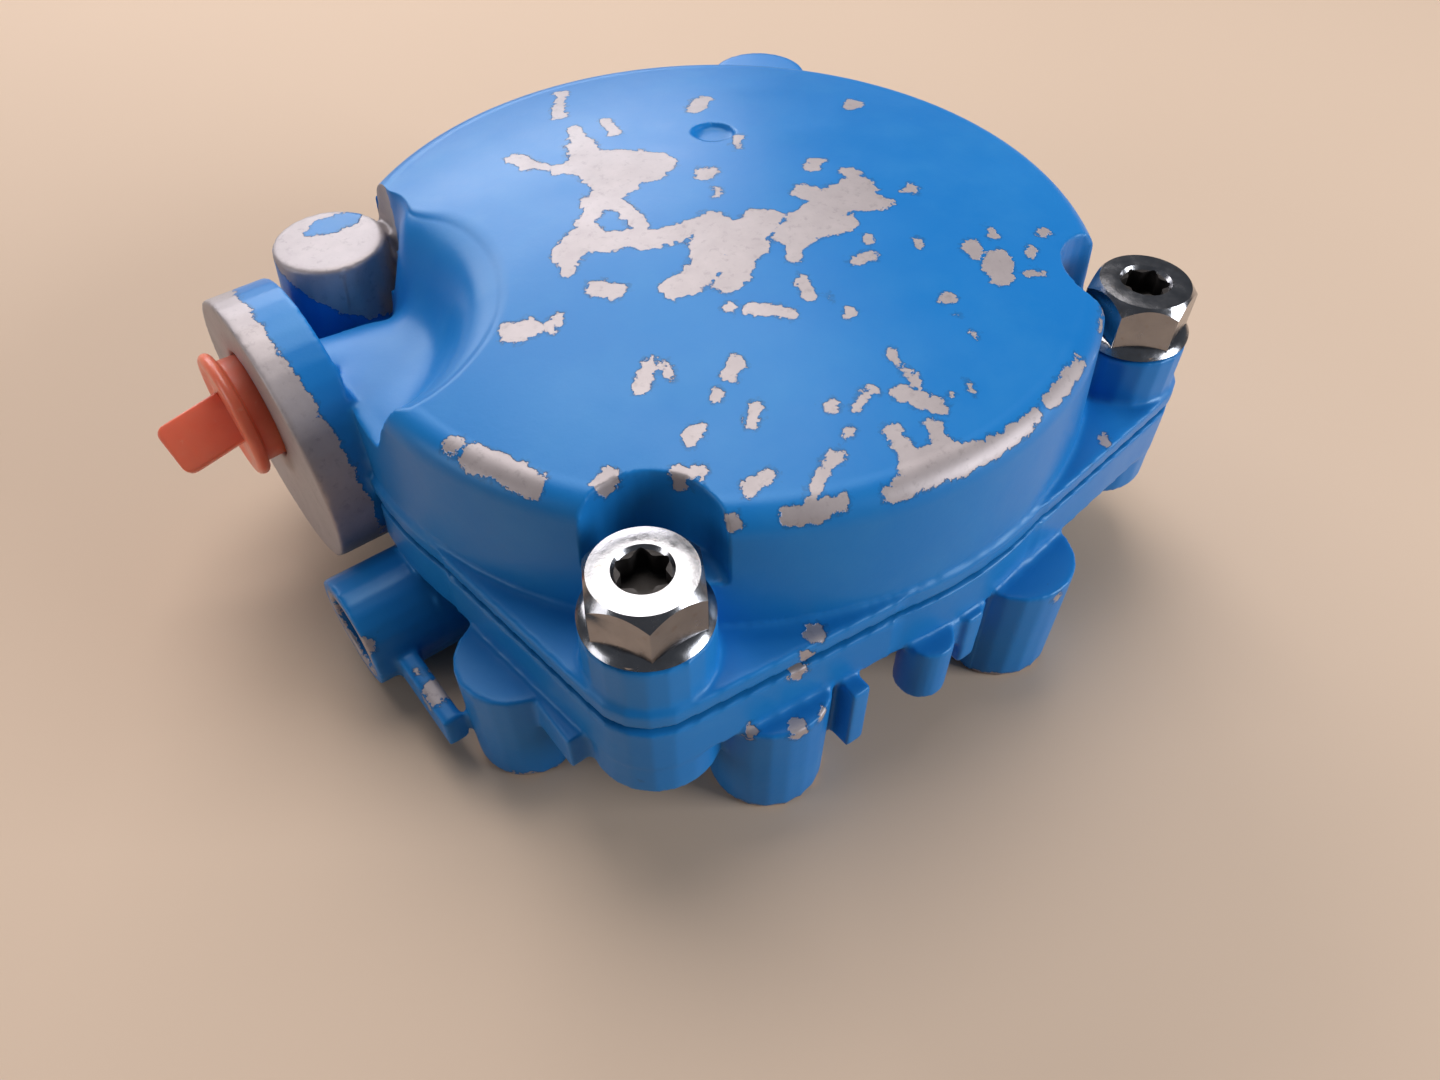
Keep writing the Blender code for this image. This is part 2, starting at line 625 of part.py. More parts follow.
def shaft_bearings():
    inner = SHAFT_R + GAP
    upper = (CHAMBER_Z[1] + GAP, SHAFT_TOP_Z + 0.6)
    finish(ring("upper_bush", inner, BUSH_R, *upper, collection=PARTS), BRONZE)
    finish(ring("lower_bush", inner, BUSH_R, 14.3, CHAMBER_Z[0] - GAP, collection=PARTS), BRONZE)
    seal_profile = [
        (SEAL_R, 13.7),
        (SEAL_R, 10.7),
        (9.6, 10.7),
        (inner, 11.2),
        (inner, 12.2),
        (9.4, 13.7),
    ]
    seal = turned("shaft_seal", seal_profile, 32, closed=True, collection=PARTS)
    finish(seal, RUBBER)
    snap = ring("seal_retaining_ring", 10.8, SEAL_R + 0.9, 9.3, 10.1, collection=PARTS)
    cut(snap, box("ring_mouth", (0, -3.0, 5), (20, 3.0, 15), 90))
    finish(snap, STEEL)


# ---- rotor ---------------------------------------------------------------------------------


def rotor_empty():
    """The joint axis: the rotor's pieces are made with the vane along +X, and it turns them."""
    empty = bpy.data.objects.new("output_axis", None)
    PARTS.objects.link(empty)
    empty.rotation_euler.z = radians(VANE_REST_AZIMUTH)
    return empty


def output_shaft(axis):
    profile = [
        (0.0, SHAFT_TOP_Z),
        (SHAFT_R - 0.8, SHAFT_TOP_Z),
        (SHAFT_R, SHAFT_TOP_Z - 0.8),
        (SHAFT_R, 0.8),
        (SHAFT_R - 0.8, 0.0),
        (0.0, 0.0),
    ]
    shaft = turned("output_shaft", profile, 32, collection=PARTS)
    for side in (1, -1):
        low = sorted((side * DRIVE_FLATS / 2, side * 12))
        cut(shaft, box(f"drive_flat_{side}", (-12, low[0], -2), (12, low[1], DRIVE_TOP_Z)))
    cut(shaft, box("shaft_keyway", (-2.3, 5.7, 22.7), (2.3, 12, 36.3)))
    return finish(shaft, STEEL, axis)


def vane_rotor(axis):
    low, high = ROTOR_Z
    rotor = cylinder("vane_rotor", (0, 0, low), (0, 0, high), ROTOR_HUB_R, 48, collection=PARTS)
    join(rotor, box("blade", (8.6, -VANE_HALF_T, low), (VANE_TIP_R, -0.3, high)))
    cut(rotor, cylinder("rotor_bore", (0, 0, 0), (0, 0, 60), SHAFT_R + GAP, 40))
    cut(rotor, box("hub_keyway", (-2.3, 4, 0), (2.3, 10.4, 60)))
    cut(rotor, box("seal_root", (11.0, -0.3, 0), (20, VANE_HALF_T + 1, 60)))
    cut(rotor, cylinder("set_screw_way", (-5, 0, 30), (-20, 0, 30), 2.3, 14))
    for i, x in enumerate(vane_screw_places()):
        cut(rotor, cylinder(f"blade_thread_{i}", (x, 5, 30), (x, -3.9, 30), 1.8, 14))
    return finish(rotor, BARE, axis)


def vane_screw_places():
    return (18.5, 30.5)


def rotor_pieces(axis):
    low, high = CHAMBER_Z[0] + GAP, CHAMBER_Z[1] - GAP
    seal = box("vane_seal", (11.3, 0.0, low), (CHAMBER_R - 0.4, 2.0, high), collection=PARTS)
    cut(seal, ring("seal_washer_room", 5, ROTOR_HUB_R + GAP, 15, ROTOR_Z[0]))
    cut(seal, ring("seal_washer_room_top", 5, ROTOR_HUB_R + GAP, ROTOR_Z[1], 45))
    finish(seal, RUBBER, axis)
    z1, z2 = ROTOR_Z
    clamp = box("vane_clamp_plate", (11.3, 2.3, z1), (VANE_TIP_R, VANE_HALF_T, z2), collection=PARTS)
    finish(clamp, BARE, axis)
    for i, x in enumerate(vane_screw_places()):
        cut(seal, cylinder(f"seal_hole_{i}", (x, -2, 30), (x, 6, 30), 1.9, 14))
        cut(clamp, cylinder(f"clamp_hole_{i}", (x, -2, 30), (x, 6, 30), 1.9, 14))
        cut(clamp, cylinder(f"clamp_sink_{i}", (x, 3.2, 30), (x, 6, 30), 3.3, 18))
        top = ((x, 3.4, 30), (x, VANE_HALF_T - 0.1, 30), 3.0, 18)
        screw = cylinder(f"vane_screw_{i + 1}", *top, collection=PARTS)
        join(screw, cylinder(f"vane_screw_shank_{i}", (x, 3.8, 30), (x, -3.6, 30), 1.5, 12))
        finish(screw, STEEL, axis)
    finish(box("rotor_key", (-2.0, 6.0, 23.0), (2.0, 10.1, 36.0), collection=PARTS), STEEL, axis)
    grub = cylinder("rotor_set_screw", (-8.3, 0, 30), (-12.7, 0, 30), 2.0, 14, collection=PARTS)
    cut(grub, cylinder("set_screw_key", (-11.2, 0, 30), (-15, 0, 30), 1.1, 6))
    finish(grub, STEEL, axis)
    inner = SHAFT_R + GAP
    lower = (CHAMBER_Z[0] + GAP, CHAMBER_Z[0] + GAP + WASHER_T)
    upper = (CHAMBER_Z[1] - GAP - WASHER_T, CHAMBER_Z[1] - GAP)
    for name, span in (("lower_thrust_washer", lower), ("upper_thrust_washer", upper)):
        finish(ring(name, inner, ROTOR_HUB_R - 0.2, *span, collection=PARTS), BRONZE, axis)


# ---- port plug -----------------------------------------------------------------------------


def port_plug():
    """A push-in transit plug, not quite home: a hollow stem, a thin disc and a pull tab."""
    disc_x = PORT_FACE_X - PLUG_STANDS_OFF
    disc = ((disc_x - PLUG_DISC_T, BORE_Y, BORE_Z), (disc_x, BORE_Y, BORE_Z), PLUG_DISC_R, 36)
    plug = cylinder("port_plug", *disc, collection=PARTS)
    stem_r = PORT_BORE_R - GAP
    stem = ((disc_x - 1, BORE_Y, BORE_Z), (PORT_BORE_END_X - 1, BORE_Y, BORE_Z), stem_r, 28, 7.1)
    join(plug, cylinder("plug_stem", *stem))
    tab = box("plug_tab", (-10.4, -3.8, -0.9), (0.0, 3.8, 0.9))
    tab.rotation_euler = (radians(PLUG_TAB_TWIST), radians(-PLUG_TAB_DROOP), 0)
    tab.location = mm(disc_x - 0.8, BORE_Y, BORE_Z)
    join(plug, tab)
    hollow = ((disc_x + 1.5, BORE_Y, BORE_Z), (-40, BORE_Y, BORE_Z), 5.8, 24)
    cut(plug, cylinder("plug_hollow", *hollow))
    return finish(plug, ORANGE)


def build():
    upper_housing()
    lower_housing()
    housing_gasket()
    housing_screws()
    dowel_pins()
    stator_shoe()
    shoe_pieces()
    shaft_bearings()
    axis = rotor_empty()
    output_shaft(axis)
    vane_rotor(axis)
    rotor_pieces(axis)
    port_plug()
    add_booleans()


build()
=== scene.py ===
"""Looks of the rotary pneumatic actuator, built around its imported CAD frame.

Sizes are in millimetres and MM turns them into metres. The frame is the CAD's: +Z up along the
output shaft, the ports along -X, and the floor at the undersides of the feet.
"""

import json
from math import cos, pi, radians, sin

import bmesh
import bpy
import numpy as np
from mathutils import Matrix, Vector


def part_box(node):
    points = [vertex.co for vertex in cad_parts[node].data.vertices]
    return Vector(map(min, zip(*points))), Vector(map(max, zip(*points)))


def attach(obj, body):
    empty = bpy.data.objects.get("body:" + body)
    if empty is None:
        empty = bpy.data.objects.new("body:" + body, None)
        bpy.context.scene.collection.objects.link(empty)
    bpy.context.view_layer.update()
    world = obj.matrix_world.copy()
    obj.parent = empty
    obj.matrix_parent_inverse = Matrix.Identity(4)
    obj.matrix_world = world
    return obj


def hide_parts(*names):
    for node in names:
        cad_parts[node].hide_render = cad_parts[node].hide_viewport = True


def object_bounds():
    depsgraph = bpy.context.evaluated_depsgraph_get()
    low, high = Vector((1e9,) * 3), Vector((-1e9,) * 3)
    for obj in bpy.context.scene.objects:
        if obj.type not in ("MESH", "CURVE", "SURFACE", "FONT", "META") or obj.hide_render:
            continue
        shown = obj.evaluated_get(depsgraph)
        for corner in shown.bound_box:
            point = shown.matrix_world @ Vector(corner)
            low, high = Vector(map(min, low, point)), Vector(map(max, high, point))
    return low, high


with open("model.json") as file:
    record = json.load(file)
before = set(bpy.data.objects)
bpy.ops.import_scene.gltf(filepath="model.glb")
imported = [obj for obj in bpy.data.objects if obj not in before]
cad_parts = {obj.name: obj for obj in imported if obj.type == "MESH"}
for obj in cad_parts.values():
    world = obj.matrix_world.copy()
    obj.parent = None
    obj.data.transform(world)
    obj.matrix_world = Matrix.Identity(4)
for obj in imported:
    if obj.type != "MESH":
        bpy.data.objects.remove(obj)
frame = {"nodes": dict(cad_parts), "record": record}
CAD_BOX = [list(corner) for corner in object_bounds()]
NODES = frame["nodes"]

MM = 0.001
VOXEL = 0.42
EDGE_ROUNDS = 5  # smoothing passes over every edge of a casting
VALLEY_ROUNDS = int(12.0**2 / VOXEL**2)  # passes over the hollow at the port

# The dome, as the CAD has it
DOME_R = 54.0
DOME_FOOT_R = 54.8
SHOULDER_Z = 47.4
SHOULDER_FILLET = 3.8
FLANGE_R = 55.5
FLANGE_TOP_Z = 29.6
CHAMBER_R = 37.5
CHAMBER_TOP_Z = 40.0
APEX_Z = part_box("upper_housing")[1].z / MM
CROWN_EDGE_R = DOME_R - SHOULDER_FILLET
CROWN_RISE = APEX_Z - SHOULDER_Z
CROWN_R = (CROWN_EDGE_R**2 + CROWN_RISE**2) / (2 * CROWN_RISE)
WALL_TOP_Z = SHOULDER_Z - SHOULDER_FILLET

# Ports, each as y, z and radius
PORT_FACE_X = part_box("upper_housing")[0].x / MM
PORT_DISC = (24.5, 26.5, 20.0)
PORT_DISC_T = 9.0
BORE = (26.0, 31.0, 7.9)
LOW_PORT_FACE_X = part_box("lower_housing")[0].x / MM
LOW_PORT = (-1.0, 9.3, 8.4)

# The blind boss beside the port: x, y, radius at its foot
BLIND_BOSS = (-41.2, 41.4, 9.7)
BLIND_BOSS_TOP_Z = 41.5

# Two conical hollows of the cover: x, y, radius at the floor, floor height, rise per millimetre
NOTCH = (-57.5, 19.0, 19.7, 38.5, 1.72)
WELL = (-46.5, 33.0, 8.0, 30.2, 6.3)
WELL_REACH = 20.0

# The soft hollow that they blend into: x, y, radius, and the width over which it fades out
VALLEY = (-46.0, 20.0, 28.0, 6.0)

# Bare spots on the crown, as strokes: x, y of one end, x, y of the other, half width
CROWN_WEAR = (
    (-2.5, 32.5, -4.5, 28.5, 1.2),
    (-4.5, 27.5, -6.5, 22.0, 2.2),
    (-6.5, 22.0, -7.0, 14.0, 3.6),
    (-3.0, 19.0, 0.3, 14.5, 3.0),
    (-4.0, 13.5, -2.0, 13.5, 2.8),
    (-7.0, 14.0, -11.5, 11.5, 2.6),
    (-11.0, 22.5, -9.0, 20.0, 1.2),
    (-13.8, 31.0, -13.5, 27.5, 1.4),
    (-12.5, 26.0, -10.5, 23.0, 0.9),
    (-12.5, 10.5, -16.0, 8.5, 1.4),
    (-10.5, 10.0, -10.5, 3.0, 1.3),
    (-17.0, 6.0, -21.5, 4.0, 2.1),
    (-22.3, 2.5, -23.5, 1.0, 0.9),
    (-17.0, 3.0, -12.0, 0.6, 1.9),
    (-12.5, -0.6, -6.0, -2.2, 1.9),
    (-3.0, -3.0, -7.0, -8.0, 2.7),
    (-14.5, -11.0, -8.0, -10.0, 2.4),
    (-9.0, -14.5, -5.0, -12.0, 2.0),
    (-4.0, -7.5, 3.0, -6.5, 2.7),
    (-4.0, -11.0, -1.5, -10.0, 2.2),
    (4.5, -11.3, 13.0, -9.0, 3.0),
    (2.6, -13.5, 0.8, -15.5, 0.9),
    (8.0, -12.5, 12.0, -13.0, 1.7),
    (12.3, -4.5, 13.0, -8.0, 2.0),
    (15.0, -8.0, 19.5, -7.5, 2.8),
    (17.0, -11.0, 19.6, -11.6, 1.8),
    (21.2, -3.8, 20.0, -8.0, 1.3),
    (17.6, 0.2, 19.2, 1.3, 1.2),
    (-35.0, -4.0, -33.0, -5.2, 1.8),
    (-31.2, -7.4, -30.8, -6.4, 0.7),
    (-29.7, -6.8, -29.5, -6.0, 0.7),
    (-22.2, -4.6, -21.0, -6.8, 1.4),
    (3.4, 7.0, 4.4, 8.0, 1.4),
    (1.6, 1.9, 2.4, 3.0, 0.6),
    (15.5, 26.0, 19.0, 28.0, 1.4),
    (1.0, 27.0, 2.8, 31.5, 0.9),
    (-1.5, 38.5, 4.0, 47.0, 1.1),
    (36.6, 13.0, 39.0, 14.5, 1.2),
    (12.4, 11.0, 14.6, 13.6, 0.8),
    (25.4, -11.6, 26.6, -11.2, 1.1),
    (-49.6, -14.5, -49.2, -15.0, 1.0),
    (-48.5, -18.0, -45.5, -25.5, 1.6),
    (-28.2, -22.3, -25.2, -20.3, 1.1),
    (-24.8, -20.6, -24.2, -22.4, 0.9),
    (-19.0, -27.2, -17.0, -26.0, 1.1),
    (-22.0, -28.8, -21.6, -28.4, 0.8),
    (-28.2, -31.8, -27.0, -31.2, 1.1),
    (-21.5, -34.5, -19.4, -33.0, 0.8),
    (-32.3, -35.0, -31.7, -35.2, 0.8),
    (-30.6, -36.0, -30.0, -36.5, 0.7),
    (-39.4, -30.6, -38.2, -30.4, 0.9),
    (-27.0, -41.2, -24.6, -41.6, 1.0),
    (-31.8, -42.6, -30.8, -43.6, 0.9),
    (-11.7, -18.3, -11.3, -17.7, 0.7),
    (-9.7, -20.0, -6.2, -23.4, 0.9),
    (-0.7, -19.3, -2.4, -22.3, 0.7),
    (-0.4, -24.2, -0.2, -23.8, 0.5),
    (-0.3, -27.8, 0.1, -27.4, 0.6),
    (7.0, -20.6, 9.6, -20.5, 1.0),
    (11.6, -18.0, 12.4, -17.0, 0.6),
    (16.6, -22.4, 17.4, -21.6, 0.5),
    (22.6, -27.2, 23.6, -26.0, 1.2),
    (22.0, -32.6, 25.0, -29.4, 1.8),
    (28.0, -25.8, 28.8, -24.4, 0.7),
    (26.4, -34.2, 27.8, -34.9, 0.6),
    (30.0, -31.0, 31.0, -30.4, 0.8),
    (35.0, -28.9, 36.2, -28.3, 0.6),
    (11.8, -32.5, 12.8, -31.9, 0.8),
    (11.3, -35.5, 11.7, -34.9, 0.4),
    (10.5, -38.8, 10.9, -38.4, 0.4),
    (-12.5, -38.4, -12.1, -37.6, 0.8),
    (-9.6, -39.7, -6.6, -38.8, 0.7),
    (-4.0, -41.5, -1.6, -44.6, 1.3),
    (-0.7, -35.6, -1.4, -41.0, 0.7),
    (-13.6, -42.3, -13.2, -42.1, 0.5),
    (0.8, -44.6, 1.2, -44.4, 0.4),
    (3.6, -45.3, 4.0, -44.7, 0.5),
    (-22.5, -46.3, -16.5, -43.7, 0.8),
    (-25.5, -46.8, -20.0, -48.5, 1.1),
    (-9.0, -44.8, -9.0, -50.0, 1.2),
    (-4.5, -47.0, -5.0, -50.5, 1.1),
    (-10.0, -50.3, -5.5, -50.5, 2.2),
    (-14.0, -51.0, 0.0, -52.8, 1.3),
    (0.0, -52.8, 8.0, -52.2, 0.9),
    (11.0, -51.4, 20.0, -49.0, 0.9),
    (28.0, -45.6, 33.0, -42.8, 0.6),
)

# Bare spots elsewhere on the cover and on the base: x, y, z and radius
COVER_WEAR = (
    (-24.9, -51.5, 29.6, 1.3),
    (-27.0, -52.5, 28.0, 0.9),
    (-45.2, -43.0, 33.5, 1.8),
    (-43.0, -47.0, 32.0, 1.5),
    (17.1, -56.4, 29.6, 1.0),
    (24.0, -53.5, 29.6, 0.8),
    (28.8, -51.0, 29.6, 0.9),
    (44.0, -44.0, 34.0, 1.4),
    (-55.8, 9.5, 34.0, 0.9),
)
BASE_WEAR = (
    (-27.6, -52.3, 25.3, 1.3),
    (-23.5, -55.5, 25.4, 1.3),
    (-16.6, -57.1, 25.2, 0.9),
    (-11.0, -58.2, 25.3, 1.1),
    (-5.0, -58.8, 25.3, 0.9),
    (0.1, -59.4, 25.2, 1.1),
    (7.0, -58.4, 25.3, 0.8),
    (-34.5, -52.0, 18.4, 0.9),
    (-30.0, -55.0, 18.2, 1.1),
    (-26.0, -56.0, 18.2, 1.0),
    (-46.7, -46.5, 20.0, 0.9),
    (-48.0, -47.0, 15.0, 0.7),
    (12.0, -60.0, 17.0, 0.9),
    (-61.0, -17.5, 9.0, 2.2),
    (-61.5, -13.5, 8.5, 1.5),
    (-65.6, -7.0, 13.0, 1.6),
)
NO_WEAR = 6.0  # the distance in millimetres given to what is far from any bare spot


# ---- node materials ------------------------------------------------------------------------


class Shader:
    """A Principled material, with short ways to add and join nodes."""

    def __init__(self, name, **values):
        self.material = bpy.data.materials.new(name)
        self.material.use_nodes = True
        self.tree = self.material.node_tree
        self.main = self.tree.nodes["Principled BSDF"]
        self.place = self.tree.nodes.new("ShaderNodeTexCoord").outputs["Object"]
        for socket, value in values.items():
            self.main.inputs[socket.replace("_", " ")].default_value = value

    def link(self, value, socket):
        if hasattr(value, "is_linked"):
            self.tree.links.new(value, socket)
        else:
            socket.default_value = value

    def noise(self, size, detail=3.0, roughness=0.55):
        """Noise whose features are about size millimetres across."""
        node = self.tree.nodes.new("ShaderNodeTexNoise")
        self.tree.links.new(self.place, node.inputs["Vector"])
        node.inputs["Scale"].default_value = 1 / (size * MM)
        node.inputs["Detail"].default_value = detail
        node.inputs["Roughness"].default_value = roughness
        return node.outputs["Fac"]

    def cells(self, size):
        """The distance from the middle of cells about size millimetres across."""
        node = self.tree.nodes.new("ShaderNodeTexVoronoi")
        self.tree.links.new(self.place, node.inputs["Vector"])
        node.inputs["Scale"].default_value = 1 / (size * MM)
        return node.outputs["Distance"]

    def stretched(self, size, scale):
        """Noise squeezed by scale along each axis, as for brushed or turned marks."""
        mapping = self.tree.nodes.new("ShaderNodeMapping")
        mapping.inputs["Scale"].default_value = scale
        self.tree.links.new(self.place, mapping.inputs["Vector"])
        node = self.tree.nodes.new("ShaderNodeTexNoise")
        self.tree.links.new(mapping.outputs["Vector"], node.inputs["Vector"])
        node.inputs["Scale"].default_value = 1 / (size * MM)
        return node.outputs["Fac"]

    def attribute(self, name):
        node = self.tree.nodes.new("ShaderNodeAttribute")
        node.attribute_name = name
        return node.outputs["Fac"]

    def math(self, operation, a, b=0.0, clamp=False):
        node = self.tree.nodes.new("ShaderNodeMath")
        node.operation = operation
        node.use_clamp = clamp
        self.link(a, node.inputs[0])
        self.link(b, node.inputs[1])
        return node.outputs[0]

    def span(self, value, low, high, start=0.0, end=1.0):
        """Maps low..high to start..end and stops at both ends."""
        node = self.tree.nodes.new("ShaderNodeMapRange")
        self.link(value, node.inputs["Value"])
        for socket, number in zip(node.inputs[1:5], (low, high, start, end)):
            socket.default_value = number
        return node.outputs[0]

    def mix(self, factor, a, b):
        """Mixes two colours."""
        node = self.tree.nodes.new("ShaderNodeMix")
        node.data_type = "RGBA"
        self.link(factor, node.inputs[0])
        self.link(a, node.inputs[6])
        self.link(b, node.inputs[7])
        return node.outputs[2]

    def bump(self, height, depth, strength=1.0, normal=None):
        """Bump whose height of 1 stands depth millimetres out."""
        node = self.tree.nodes.new("ShaderNodeBump")
        node.inputs["Strength"].default_value = strength
        node.inputs["Distance"].default_value = depth * MM
        self.link(height, node.inputs["Height"])
        if normal:
            self.link(normal, node.inputs["Normal"])
        return node.outputs["Normal"]

    def set(self, socket, value):
        self.link(value, self.main.inputs[socket])


def color(red, green, blue):
    return (red, green, blue, 1.0)


def painted_casting():
    """Semi-gloss blue paint over cast aluminium, chipped where the mesh's wear runs below zero."""
    made = Shader("blue_casting_paint", Specular_IOR_Level=0.4)
    made.set("Specular Tint", color(0.60, 0.85, 1.0))
    wear = made.attribute("wear")
    ragged = made.math("SUBTRACT", made.noise(2.6, 4.0, 0.62), 0.5)
    fine = made.math("SUBTRACT", made.noise(0.7, 2.0), 0.5)
    edge = made.math("MULTIPLY", ragged, 3.6)
    tip = made.math("ADD", edge, made.math("MULTIPLY", fine, 1.1))
    depth = made.math("ADD", wear, tip)
    specks = made.span(made.noise(3.2, 5.0, 0.75), 0.735, 0.76, 0.0, 1.0)
    chip = made.span(depth, 0.08, -0.08)
    bare = made.math("MAXIMUM", chip, specks, clamp=True)
    rim = made.math("SUBTRACT", made.span(depth, 0.55, 0.1), chip, clamp=True)
    tone = made.noise(26.0, 3.0)
    paint = made.mix(tone, color(0.006, 0.165, 0.50), color(0.013, 0.205, 0.55))
    cloud = made.span(made.noise(9.0, 4.0, 0.6), 0.45, 0.7, 0.0, 0.16)
    paint = made.mix(cloud, paint, color(0.05, 0.28, 0.58))
    paint = made.mix(made.math("MULTIPLY", rim, 0.45), paint, color(0.012, 0.07, 0.18))
    metal = made.mix(made.noise(4.0, 4.0, 0.65), color(0.38, 0.315, 0.31), color(0.52, 0.44, 0.43))
    stain = made.span(made.noise(1.2, 3.0, 0.7), 0.56, 0.7, 0.0, 0.35)
    metal = made.mix(stain, metal, color(0.24, 0.20, 0.19))
    made.set("Base Color", made.mix(bare, paint, metal))
    made.set("Metallic", made.math("MULTIPLY", bare, 0.35))
    smooth = made.span(made.noise(14.0, 4.0, 0.6), 0.3, 0.7, 0.30, 0.42)
    rough = made.math("ADD", smooth, made.math("MULTIPLY", bare, 0.12))
    made.set("Roughness", rough)
    peel = made.bump(made.noise(1.6, 2.0), 0.05, 0.35)
    grain = made.bump(made.noise(0.35, 2.0), 0.03, 0.25, peel)
    made.set("Normal", made.bump(made.math("SUBTRACT", 1.0, bare), 0.16, 0.8, grain))
    return made.material


def plated_steel():
    made = Shader("bright_plating", Metallic=1.0)
    tone = made.noise(3.0, 4.0, 0.6)
    base = made.mix(tone, color(0.26, 0.25, 0.26), color(0.40, 0.39, 0.40))
    dirt = made.span(made.noise(1.4, 4.0, 0.7), 0.58, 0.72, 0.0, 0.5)
    made.set("Base Color", made.mix(dirt, base, color(0.26, 0.20, 0.16)))
    made.set("Roughness", made.span(made.noise(2.0, 4.0, 0.6), 0.3, 0.7, 0.14, 0.30))
    dents = made.bump(made.noise(1.8, 3.0), 0.05, 0.5)
    made.set("Normal", made.bump(made.noise(0.25, 2.0), 0.012, 0.4, dents))
    return made.material


# Painted shade: a near-black material that stands in for the shade down in the screws' six-lobed
# recesses.
def painted_recess_shade():
    made = Shader("painted_recess_shade", Metallic=0.6)
    tone = made.noise(1.0, 4.0, 0.65)
    made.set("Base Color", made.mix(tone, color(0.012, 0.010, 0.010), color(0.06, 0.05, 0.045)))
    made.set("Roughness", made.span(tone, 0.3, 0.7, 0.4, 0.7))
    made.set("Normal", made.bump(tone, 0.05, 0.6))
    return made.material


def ground_steel():
    made = Shader("ground_steel_turned", Metallic=1.0)
    marks = made.stretched(0.4, (0.15, 0.15, 4.0))
    made.set("Base Color", made.mix(marks, color(0.42, 0.42, 0.43), color(0.60, 0.60, 0.61)))
    made.set("Roughness", made.span(made.noise(2.0), 0.3, 0.7, 0.22, 0.38))
    made.set("Normal", made.bump(marks, 0.01, 0.4))
    return made.material


def bare_aluminium():
    made = Shader("machined_aluminium", Metallic=1.0)
    marks = made.stretched(0.5, (0.3, 0.3, 5.0))
    made.set("Base Color", made.mix(marks, color(0.60, 0.59, 0.58), color(0.74, 0.73, 0.72)))
    made.set("Roughness", made.span(made.noise(3.0), 0.3, 0.7, 0.3, 0.46))
    made.set("Normal", made.bump(marks, 0.015, 0.4))
    return made.material


def bronze():
    made = Shader("sintered_bronze", Metallic=1.0)
    pores = made.span(made.cells(0.5), 0.1, 0.35, 0.0, 1.0)
    made.set("Base Color", made.mix(pores, color(0.20, 0.12, 0.05), color(0.60, 0.42, 0.20)))
    made.set("Roughness", made.span(made.noise(1.5), 0.3, 0.7, 0.36, 0.52))
    made.set("Normal", made.bump(pores, 0.02, 0.6))
    return made.material


def black_rubber():
    made = Shader("moulded_rubber", Specular_IOR_Level=0.4)
    tone = made.noise(3.0, 4.0)
    made.set("Base Color", made.mix(tone, color(0.018, 0.018, 0.02), color(0.045, 0.045, 0.048)))
    made.set("Roughness", made.span(made.noise(1.0), 0.3, 0.7, 0.55, 0.75))
    made.set("Normal", made.bump(made.noise(0.3), 0.02, 0.5))
    return made.material


def gasket_fibre():
    made = Shader("gasket_fibre_sheet", Specular_IOR_Level=0.3)
    fibres = made.stretched(0.5, (1.0, 4.0, 1.0))
    made.set("Base Color", made.mix(fibres, color(0.03, 0.03, 0.034), color(0.10, 0.10, 0.105)))
    made.set("Roughness", made.span(made.noise(0.8), 0.3, 0.7, 0.8, 0.95))
    made.set("Normal", made.bump(fibres, 0.03, 0.6))
    return made.material


def orange_plastic():
    made = Shader(
        "soft_orange_polyethylene",
        Subsurface_Weight=0.35,
        Subsurface_Scale=0.003,
        Transmission_Weight=0.12,
        IOR=1.5,
        Coat_Weight=0.15,
        Coat_Roughness=0.2,
    )
    made.main.inputs["Subsurface Radius"].default_value = (1.0, 0.35, 0.15)
    tone = made.noise(5.0, 3.0)
    base = made.mix(tone, color(0.93, 0.15, 0.07), color(0.98, 0.25, 0.14))
    scuffs = made.span(made.noise(1.1, 5.0, 0.7), 0.62, 0.72, 0.0, 0.35)
    made.set("Base Color", made.mix(scuffs, base, color(0.95, 0.45, 0.30)))
    made.set("Roughness", made.span(made.noise(2.0, 4.0), 0.3, 0.7, 0.28, 0.45))
    made.set("Normal", made.bump(made.noise(1.2, 3.0), 0.05, 0.3))
    return made.material


def floor_surface():
    made = Shader("warm_paper", Roughness=0.85, Specular_IOR_Level=0.25)
    tone = made.noise(260.0, 2.0)
    made.set("Base Color", made.mix(tone, color(0.60, 0.44, 0.325), color(0.66, 0.49, 0.365)))
    return made.material


# ---- mesh help -----------------------------------------------------------------------------

BEVEL_ANGLE = 32  # degrees: sharper edges are rounded
SHARP_ANGLE = 40  # degrees: sharper edges are shaded as edges


def new_object(name, work):
    """Makes an object from a bmesh whose points are in millimetres."""
    bmesh.ops.scale(work, vec=(MM, MM, MM), verts=work.verts)
    mesh = bpy.data.meshes.new(name)
    work.to_mesh(mesh)
    work.free()
    made = bpy.data.objects.new(name, mesh)
    bpy.context.scene.collection.objects.link(made)
    return made


def turned(name, profile, steps=96):
    """A solid of revolution about Z from (radius, z) points."""
    work = bmesh.new()
    verts = [work.verts.new((r, 0.0, z)) for r, z in profile]
    edges = [work.edges.new(pair) for pair in zip(verts, verts[1:])]
    if profile[0][0] > 0 or profile[-1][0] > 0:
        edges.append(work.edges.new((verts[-1], verts[0])))
    bmesh.ops.spin(
        work, geom=verts + edges, axis=(0, 0, 1), cent=(0, 0, 0), angle=2 * pi, steps=steps
    )
    bmesh.ops.remove_doubles(work, verts=work.verts, dist=1e-4)
    bmesh.ops.recalc_face_normals(work, faces=work.faces)
    return new_object(name, work)


